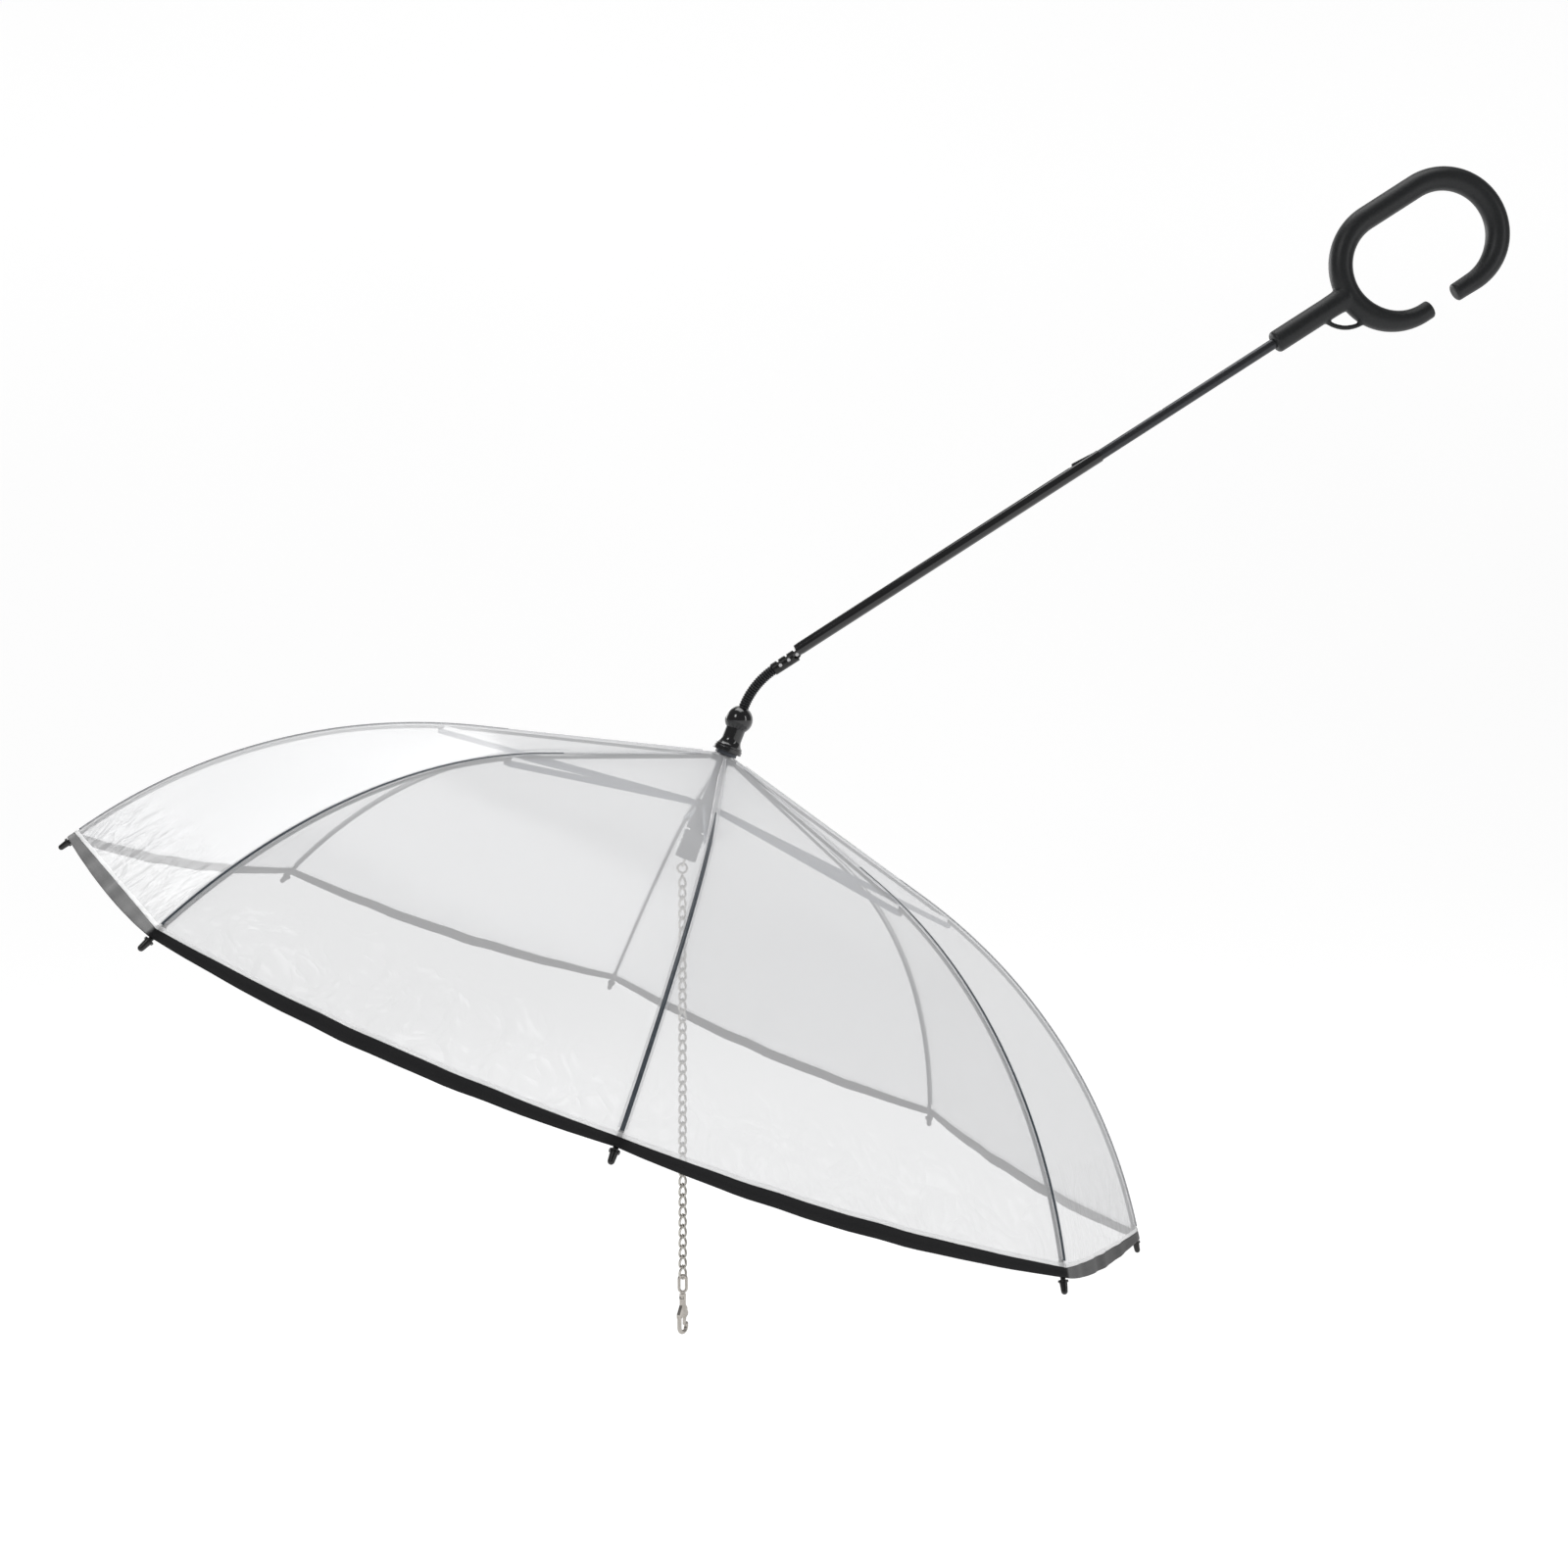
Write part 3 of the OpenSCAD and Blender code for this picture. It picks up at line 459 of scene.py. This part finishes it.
# ---------------------------------------------------------------- chain
def link_loop(centre, half_len, half_w, turn, twist, steps=28):
    """The middle line of one link that hangs along Z, twisted along its length."""
    points = []
    for i in range(steps):
        t = 2 * math.pi * i / steps
        x = half_w * math.cos(t)
        z = half_len * math.sin(t) * (1 - 0.08 * math.cos(t) ** 2)
        a = turn + twist * z / half_len / 2
        points.append(centre + Vector((x * math.cos(a), x * math.sin(a), z)))
    return points


def make_chain():
    ring_low, ring_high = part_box("chain_ring")
    axis_x = (ring_low.x + ring_high.x) / 2
    links_low, links_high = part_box("chain_links")
    top = links_high.z
    half_len = (CHAIN_PITCH + CHAIN_WIRE) / 2
    parts = []
    for i in range(LINK_COUNT):
        z = top - CHAIN_WIRE / 2 - half_len - i * CHAIN_PITCH
        loop = link_loop(Vector((axis_x, 0, z)), half_len, LINK_SIDE, LINK_TURN, LINK_TWIST)
        parts.append(tube(loop, CHAIN_WIRE / 2 * LINK_WIRE_FIT, sides=8, closed=True))
    chain = make_mesh("chain", *joined(parts), CHAIN_STEEL)
    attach(chain, "lead")
    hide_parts("chain_links")


make_chain()


# ---------------------------------------------------------------- canopy film
def film_arc():
    """Radius, end slope and centre of the film's arc, from its driving sizes."""
    drop = DOME_H - BEND_R * math.tan(FILM_SLOPE)
    run = RIM_R - BEND_R
    chord = math.atan2(drop, run)
    radius = math.hypot(run, drop) / (2 * math.sin(chord - FILM_SLOPE))
    centre = (BEND_R - radius * math.sin(FILM_SLOPE), drop - radius * math.cos(FILM_SLOPE))
    return radius, 2 * chord - FILM_SLOPE, centre


ARC_R, END_SLOPE, ARC_CENTRE = film_arc()
HOLE_R = TUBE_R + 0.5 * MM
FILM_LEN = ARC_R * (END_SLOPE - FILM_SLOPE) / (1 - STRAIGHT_SHARE)


def profile(u):
    """Distance from the axis, height and slope of the film at a share u of the way to the rim."""
    if u < STRAIGHT_SHARE:
        r = HOLE_R + (BEND_R - HOLE_R) * u / STRAIGHT_SHARE
        return r, DOME_H - r * math.tan(FILM_SLOPE), FILM_SLOPE
    a = FILM_SLOPE + (END_SLOPE - FILM_SLOPE) * (u - STRAIGHT_SHARE) / (1 - STRAIGHT_SHARE)
    return ARC_CENTRE[0] + ARC_R * math.sin(a), ARC_CENTRE[1] + ARC_R * math.cos(a), a


def gore_share(angle):
    """The gore that an angle lies in, and the share of the way across it."""
    gore = math.floor(angle / STEP + 1e-9)
    return gore, angle / STEP - gore


def film_point(u, angle, lift=0.0):
    """A point on the film: share u outward at an angle about the axis, lifted along the film's normal."""
    r, z, slope = profile(u)
    gore, w = gore_share(angle)
    a0, a1, mid = gore * STEP, (gore + 1) * STEP, (gore + 0.5) * STEP
    x = r * (math.cos(a0) * (1 - w) + math.cos(a1) * w)
    y = r * (math.sin(a0) * (1 - w) + math.sin(a1) * w)
    hang = FILM_SAG * r * math.sin(STEP / 2) * 4 * w * (1 - w) * min(1, u * 3) - lift
    x -= hang * math.cos(mid) * math.sin(slope)
    y -= hang * math.sin(mid) * math.sin(slope)
    return at_head(x, y, z - hang * math.cos(slope))


def ripple(u, angle, k):
    """Small waves of the film along the rim and beside the ribs, in metres."""
    w = gore_share(angle)[1]
    inside = math.sin(math.pi * w)
    near_rim = max(0.0, (u - 0.72) / 0.28) ** 2
    waves = math.sin(angle * 40 + 3 * u) + 0.6 * math.sin(angle * 67 + 1.3)
    along = math.sin(u * 24 + 2.1 * math.sin(angle * 3)) * math.exp(-((w - 0.5) / 0.42) ** 2)
    return 0.00055 * near_rim * waves * inside + 0.0005 * along * inside * min(1, u * 2)


def beyond_rim(u, angle, lift):
    """A film point that may lie past the rim, straight on along the film's end."""
    if u <= 1:
        return film_point(u, angle, lift)
    edge = film_point(1, angle, lift)
    return edge + (edge - film_point(0.99, angle, lift)) * ((u - 1) / 0.01)


def belly(angle):
    """How far the film's edge reaches past the rim, as a share of its length: 0 at the ribs."""
    gore, w = gore_share(angle)
    depth = TIGHT_BELLY if gore == TIGHT_GORE else RIM_BELLY
    return depth * 4 * w * (1 - w) / FILM_LEN


def film_place(u, angle, k):
    return beyond_rim(u * (1 + belly(angle)), angle, -0.2 * MM + ripple(u, angle, k))


def film_normal(u, angle, k):
    """The film's outward normal, the same on both strips where they meet."""
    du, da = 0.004, 0.012
    along = film_place(min(u + du, 1), angle, k) - film_place(max(u - du, 0), angle, k)
    around = film_place(u, angle + da, k) - film_place(u, angle - da, k)
    return around.cross(along).normalized() * -1


def make_film(k):
    verts, normals = [], []
    cols = 2 * HALF_COLS
    for i in range(FILM_ROWS + 1):
        u = i / FILM_ROWS
        for j in range(cols + 1):
            angle = (k - 1) * STEP + (j - HALF_COLS) / HALF_COLS * STEP / 2
            verts.append(film_place(u, angle, k))
            normals.append(film_normal(u, angle, k))
    film = make_mesh(f"film_{k}", verts, grid_faces(FILM_ROWS + 1, cols + 1), FILM)
    film.data.normals_split_custom_set_from_vertices(normals)
    return film


def binding_width(w):
    """The tape's width at a share w across a gore, as a share of the film's length."""
    return (BINDING_W - 3.2 * MM * (1 - 4 * w * (1 - w))) / FILM_LEN


def binding_section(w):
    """The folded tape's outline at a share w across a gore: pairs of share u and lift in mm."""
    width = binding_width(w)
    reach = 0.6 * MM / FILM_LEN
    return [(1 - width, 0.1), (1 - width * 0.97, 0.3), (1 - width * 0.9, 0.42), (1 - width * 0.8, 0.26),
            (1 - width * 0.4, 0.4), (1, 0.44), (1 + reach * 0.7, 0.3), (1 + reach, -0.15),
            (1 + reach * 0.7, -0.55), (1, -0.78), (1 - width * 0.5, -0.78), (1 - width * 0.97, -0.7),
            (1 - width, -0.5)]


def make_binding(k):
    """A tape folded over the film's edge, from the middle of one gore to the middle of the next."""
    verts = []
    cols = 2 * HALF_COLS
    for j in range(cols + 1):
        angle = (k - 1) * STEP + (j - HALF_COLS) / HALF_COLS * STEP / 2
        w = gore_share(angle)[1]
        for u, lift in binding_section(w):
            verts.append(beyond_rim(u + belly(angle), angle, lift * MM + ripple(min(u, 1), angle, k)))
    faces = ring_faces(cols + 1, len(binding_section(0)))
    binding = make_mesh(f"binding_{k}", verts, faces, BINDING_BLACK)
    binding.data.set_sharp_from_angle(angle=math.radians(60))
    return binding


def make_strip(name, k, offsets, half, first, last, material):
    """A narrow raised strip along rib k: offsets are pairs of share across and lift in mm."""
    verts = []
    for i in range(FILM_ROWS + 1):
        u = first + (last - first) * i / FILM_ROWS
        wide = half * min(1, 0.35 + 5 * (u - first)) / profile(u)[0]
        for share, lift in offsets:
            verts.append(film_point(u, (k - 1) * STEP + min(wide, 0.2) * share, lift * MM))
    return make_mesh(f"{name}_{k}", verts, grid_faces(FILM_ROWS + 1, len(offsets)), material)


def make_weld_with_highlight(k):
    """The welded seam over a rib, a little proud of the film and whiter than it: partly the doubled film's
    own haze, partly a painted highlight beside the rib line.
    """
    offsets = [(-1, 0.03), (-0.85, 0.38), (-0.68, 0.52), (-0.52, 0.4), (-0.4, 0.15), (0.4, 0.15), (0.52, 0.4),
               (0.68, 0.52), (0.85, 0.38), (1, 0.03)]
    return make_strip("weld_with_highlight", k, offsets, WELD_HALF, 0.03, 0.98, WELD_WITH_HIGHLIGHT)


def make_hem_highlight(k):
    """The film's pinched edge just above the binding: a fine uneven ridge, in near-white film that paints a
    highlight line along the binding's upper edge.
    """
    verts = []
    cols = 6 * HALF_COLS
    section = [(-1.3, 0.0), (-0.5, 0.5), (0.3, 0.62), (1.2, 0.1)]
    for j in range(cols + 1):
        angle = (k - 1) * STEP + (2 * j / cols - 1) * STEP / 2
        w = gore_share(angle)[1]
        top = 1 + belly(angle) - binding_width(w) - 1.2 * MM / FILM_LEN
        wave = 0.75 + 0.5 * math.sin(angle * 61 + 1.1 * k) * math.sin(angle * 23)
        for along, lift in section:
            raised = lift * wave * MM + ripple(1, angle, k)
            verts.append(beyond_rim(top + along * MM / FILM_LEN, angle, raised))
    faces = [(a, d, c, b) for a, b, c, d in grid_faces(cols + 1, len(section))]
    return make_mesh(f"hem_{k}", verts, faces, HEM_HIGHLIGHT)


def make_seam_and_shadow(k):
    """The rib's dark line where the film is pulled tight on it, wide enough to take in the rib's painted
    shadow on the film.
    """
    offsets = [(-1, -0.1), (-0.85, 0.2), (-0.45, 0.32), (0, 0.36), (0.45, 0.32), (0.85, 0.2), (1, -0.1)]
    return make_strip("seam", k, offsets, SEAM_AND_SHADOW_HALF, 0.37, 0.982, SEAM_AND_SHADOW)


def fold_with(obj, k):
    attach(obj, f"rib_{k}")
    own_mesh(obj)


for k in range(1, RIBS + 1):
    film = make_film(k)
    fold_with(film, k)
    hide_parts("canopy_film")
    binding = make_binding(k)
    fold_with(binding, k)
    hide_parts("rim_binding")
    weld_with_highlight = make_weld_with_highlight(k)
    fold_with(weld_with_highlight, k)
    hem_highlight = make_hem_highlight(k)
    fold_with(hem_highlight, k)
    seam = make_seam_and_shadow(k)
    fold_with(seam, k)


# ---------------------------------------------------------------- gooseneck
def make_coil():
    """The close-wound spring: a helix along one arc, then straight into the ferrule."""
    start = Vector(JOINTS["elbow_3"]["pos_m"]) - SHAFT * (3.6 * MM)
    bend = math.pi / 2 - math.atan2(SHAFT.z, SHAFT.x) - math.atan2(UP.x, UP.z)
    arc_r = COIL_CHORD / (2 * math.sin(bend / 2))
    length = arc_r * bend + COIL_SEAT
    pitch = COIL_WIRE * 1.02
    turns = length / pitch
    per_turn = 22
    mean_r = COIL_R - COIL_WIRE / 2
    points = []
    for i in range(int(turns * per_turn) + 1):
        s = pitch * i / per_turn
        t = 2 * math.pi * i / per_turn
        if s < arc_r * bend:
            a = s / arc_r
            out = SHAFT * -math.sin(a) + SHAFT_UP * math.cos(a)
            centre = start - SHAFT_UP * arc_r + out * arc_r
        else:
            out = SHAFT * -math.sin(bend) + SHAFT_UP * math.cos(bend)
            along = SHAFT * -math.cos(bend) - SHAFT_UP * math.sin(bend)
            centre = start - SHAFT_UP * arc_r + out * arc_r + along * (s - arc_r * bend)
        points.append(centre + out * (mean_r * math.cos(t)) + ACROSS * (mean_r * math.sin(t)))
    coil = make_mesh("coil_spring", *tube(points, COIL_WIRE / 2 * WIRE_FIT, sides=8), SPRING_BLACK)
    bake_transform(coil)
    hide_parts("gooseneck_coil")


make_coil()


# ---------------------------------------------------------------- handle
def grip_line():
    """Points along the middle of the C's tube with its radius at each, from its lower free end."""
    half = RING_STRAIGHT / 2
    start = half + GAP_SHIFT - RING_GAP / 2
    end = half - GAP_SHIFT - RING_GAP / 2
    arc = math.pi * RING_R
    total = start + arc + RING_STRAIGHT + arc + end
    steps = 150
    line = []
    for i in range(steps + 1):
        s = total * i / steps
        a, b = s - start, s - start - arc
        c, d = b - RING_STRAIGHT, b - RING_STRAIGHT - arc
        if a < 0:
            p = (-half - a, -RING_R)
        elif b < 0:
            p = (-half - RING_R * math.sin(a / RING_R), -RING_R * math.cos(a / RING_R))
        elif c < 0:
            p = (-half + b, RING_R)
        elif d < 0:
            p = (half + RING_R * math.sin(c / RING_R), RING_R * math.cos(c / RING_R))
        else:
            p = (half - d, -RING_R)
        u = min(min(s, total - s) / GRIP_TAPER, 1)
        line.append((p, GRIP_END_R + (GRIP_R - GRIP_END_R) * u * u * (3 - 2 * u)))
    return line


def make_grip():
    line = grip_line()
    points = [at_shaft(x, z) for (x, z), r in line]
    radii = [r for p, r in line]
    # round the two free ends
    lead = []
    for edge, nxt in ((0, 1), (-1, -2)):
        out = (points[edge] - points[nxt]).normalized()
        cap = [(0.45, 0.97), (0.9, 0.87), (1.2, 0.72), (1.35, 0.55)]
        lead.append([(points[edge] + out * (d * MM), radii[edge] * f) for d, f in cap])
    points = [p for p, r in reversed(lead[0])] + points + [p for p, r in lead[1]]
    radii = [r for p, r in reversed(lead[0])] + radii + [r for p, r in lead[1]]
    ring = tube(points, radii, sides=36)
    mouth = -RING_STRAIGHT / 2 - RING_R - SLEEVE_LEN
    turned = [(0, 5.4), (0.25, 6.1), (0.8, 6.8), (1.6, 7.2), (2.6, 7.3), (40, 7.3), (48, 7.5), (52, 8.0),
              (56, 8.2)]
    sleeve = tube([at_shaft(mouth + x * MM, 0) for x, r in turned], [r * MM for x, r in turned], sides=36)
    obj = make_mesh("grip_body", *ring, GRIP_BLACK)
    other = make_mesh("grip_sleeve", *sleeve, GRIP_BLACK)
    strap_line = [at_shaft(EYE_CENTRE[0] + EYE_R * math.cos(a), EYE_CENTRE[1] + EYE_R * math.sin(a))
                  for a in [EYE_START + EYE_SPAN * i / 14 for i in range(15)]]
    strap = make_mesh("grip_eye", *tube(strap_line, EYE_WIRE_R, sides=14), GRIP_BLACK)
    for extra in (other, strap):
        union = obj.modifiers.new("union", "BOOLEAN")
        union.operation = "UNION"
        union.solver = "EXACT"
        union.object = extra
        apply_modifiers(obj)
        bpy.data.objects.remove(extra)
    remesh = obj.modifiers.new("remesh", "REMESH")
    remesh.mode = "VOXEL"
    remesh.voxel_size = GRIP_VOXEL
    smooth = obj.modifiers.new("smooth", "SMOOTH")
    smooth.iterations = 12
    smooth.factor = 0.5
    apply_modifiers(obj)
    obj.data.polygons.foreach_set("use_smooth", [True] * len(obj.data.polygons))
    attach(obj, "handle")
    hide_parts("handle_grip")


make_grip()

soften([n for n in NODES if n not in ("canopy_film", "rim_binding")])


# ---------------------------------------------------------------- spring catch
def make_catch():
    """The catch's leaf, which the outer tube presses down into the inner tube as it passes."""
    catch = bpy.data.objects.new("catch_leaf", NODES["shaft_catch"].data.copy())
    catch.matrix_world = NODES["shaft_catch"].matrix_world.copy()
    bpy.context.scene.collection.objects.link(catch)
    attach(catch, "catch")
    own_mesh(catch)
    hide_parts("shaft_catch")


make_catch()


# ---------------------------------------------------------------- studio
def make_stage():
    """A pale floor that curves up into a pale wall behind."""
    floor_z = CAD_BOX[0][2] - 0.05
    radius, depth, height, wide = 1.5, 3.2, 4.5, 6.0
    line = [(-4.0, floor_z)]
    line += [(depth - radius + radius * math.sin(a), floor_z + radius - radius * math.cos(a))
             for a in [math.pi / 2 * i / 24 for i in range(25)]]
    line.append((depth, floor_z + height))
    verts = [(x, y, z) for y, z in line for x in (-wide, wide)]
    faces = [(2 * i, 2 * i + 1, 2 * i + 3, 2 * i + 2) for i in range(len(line) - 1)]
    m, tree, shader = new_material("studio_white")
    noise = noise_node(tree, 0.6)
    grey = ramp_from(tree, noise.outputs["Fac"], (0.3, 0.3, 0.3), (0.32, 0.32, 0.32))
    tree.links.new(grey, shader.inputs["Base Color"])
    set_inputs(shader, Roughness=0.9, Specular_IOR_Level=0.1, Emission_Color=(1, 1, 1, 1),
               Emission_Strength=0.82)
    floor = make_mesh("studio_floor", verts, faces, m)


def area_light(name, place, target, size, power):
    data = bpy.data.lights.new(name, "AREA")
    data.shape = "RECTANGLE"
    data.size, data.size_y = size
    data.energy = power
    light = bpy.data.objects.new(name, data)
    light.location = place
    light.rotation_euler = (Vector(target) - Vector(place)).to_track_quat("-Z", "Y").to_euler()
    light.visible_camera = False
    bpy.context.scene.collection.objects.link(light)


def make_lights():
    world = bpy.data.worlds.new("studio")
    world.use_nodes = True
    background = world.node_tree.nodes["Background"]
    background.inputs["Color"].default_value = (1, 1, 1, 1)
    background.inputs["Strength"].default_value = 0.22
    bpy.context.scene.world = world
    centre = Vector((-0.4, 0, -0.35))
    area_light("key_left", centre + Vector((-1.3, -1.9, 1.5)), centre, (0.6, 0.9), 11)
    area_light("fill_right", centre + Vector((1.9, -1.3, 0.5)), centre, (0.35, 1.4), 6)
    area_light("top", centre + Vector((0.1, 0.1, 2.0)), centre, (1.6, 1.0), 16)
    area_light("gore_glow", Vector((-1.35, 1.25, 0.24)), Vector((-0.75, -0.1, -0.42)), (1.6, 0.75), 9)


make_stage()
make_lights()
view = bpy.context.scene.view_settings
view.view_transform = "Standard"
view.look = "None"
view.exposure = 0.0
bpy.context.scene.cycles.transparent_max_bounces = 24
